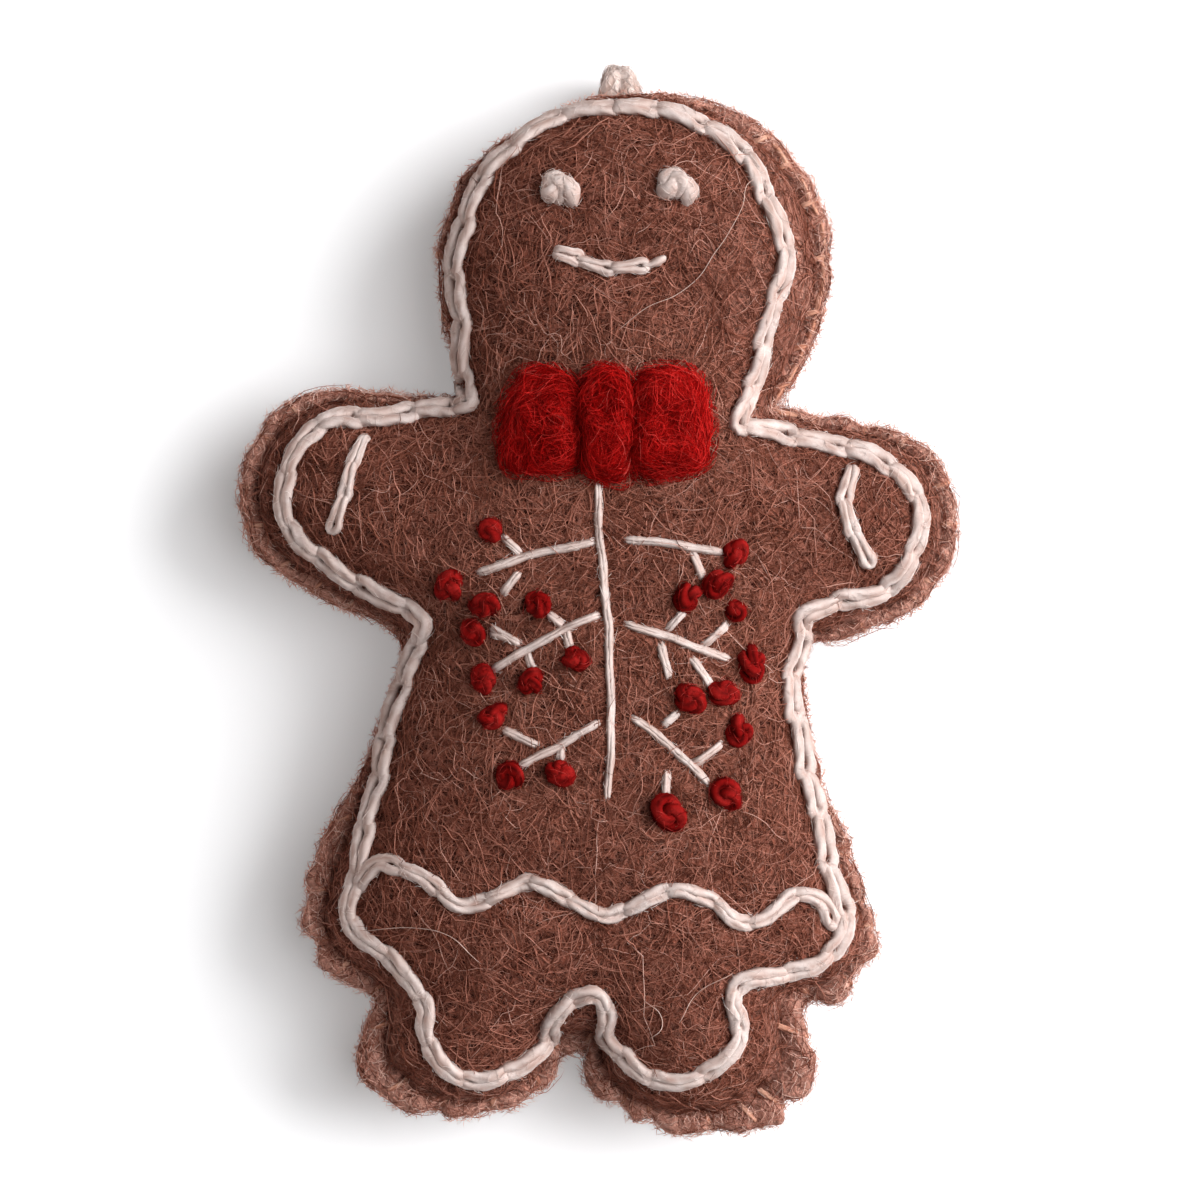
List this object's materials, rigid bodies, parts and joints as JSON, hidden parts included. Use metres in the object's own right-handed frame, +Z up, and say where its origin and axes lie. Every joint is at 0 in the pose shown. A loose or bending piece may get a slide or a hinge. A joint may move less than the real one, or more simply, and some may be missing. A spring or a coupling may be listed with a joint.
{
  "type": "felt gingerbread ornament",
  "caption": "Stuffed felt gingerbread figure with chain-stitch icing, an embroidered berry sprig, a felted bow and a cord loop to hang it by.",
  "frame": {"origin": "on the resting surface under the middle of the stuffed figure, which lies on its back", "axes": "+Z up out of the embroidered face, +Y towards the head, +X to the right of the face as seen"},
  "size_m": [0.0777, 0.1137, 0.0266],
  "materials": {
    "brown_felt": "matted wool felt",
    "wool_fill": "loose wool",
    "seam_cotton": "cotton sewing thread",
    "cream_floss": "stranded cotton floss",
    "red_floss": "stranded cotton floss",
    "red_wool": "needle-felted wool",
    "cream_cord": "soft cotton cord"
  },
  "bodies": {
    "figure": {"front_panel": "brown_felt", "back_panel": "brown_felt", "wool_stuffing": "wool_fill", "seam_thread": "seam_cotton", "outline_stitch": "cream_floss", "hem_stitch": "cream_floss", "mouth_stitch": "cream_floss", "left_cuff_stitch": "cream_floss", "right_cuff_stitch": "cream_floss", "left_eye": "cream_floss", "right_eye": "cream_floss", "stem_stitch": "cream_floss", "left_branch_1_stitch": "cream_floss", "left_branch_2_stitch": "cream_floss", "left_branch_3_stitch": "cream_floss", "right_branch_1_stitch": "cream_floss", "right_branch_2_stitch": "cream_floss", "right_branch_3_stitch": "cream_floss", "left_branch_1_twig_1": "cream_floss", "left_branch_1_twig_2": "cream_floss", "left_branch_2_twig_1": "cream_floss", "left_branch_2_twig_2": "cream_floss", "left_branch_2_twig_3": "cream_floss", "left_branch_3_twig_1": "cream_floss", "right_branch_1_twig_1": "cream_floss", "right_branch_2_twig_1": "cream_floss", "right_branch_2_twig_2": "cream_floss", "right_branch_2_twig_3": "cream_floss", "right_branch_2_twig_4": "cream_floss", "right_branch_3_twig_1": "cream_floss", "right_branch_3_twig_2": "cream_floss", "right_branch_3_twig_3": "cream_floss", "berry_01": "red_floss", "berry_02": "red_floss", "berry_03": "red_floss", "berry_04": "red_floss", "berry_05": "red_floss", "berry_06": "red_floss", "berry_07": "red_floss", "berry_08": "red_floss", "berry_09": "red_floss", "berry_10": "red_floss", "berry_11": "red_floss", "berry_12": "red_floss", "berry_13": "red_floss", "berry_14": "red_floss", "berry_15": "red_floss", "berry_16": "red_floss", "berry_17": "red_floss", "berry_18": "red_floss", "berry_19": "red_floss", "berry_20": "red_floss", "berry_21": "red_floss", "bow_left_lobe": "red_wool", "bow_knot": "red_wool", "bow_right_lobe": "red_wool", "loop_base": "cream_cord", "loop_neck": "cream_cord"},
    "loop_bight": {"loop_bight": "cream_cord"}
  },
  "joints": [
    {"name": "loop_swing", "type": "hinge", "parent": "figure", "child": "loop_bight", "pos_m": [0.0023, 0.05664, 0.0012], "axis": [0, 0, 1], "range_deg": [0, 180]}
  ]
}
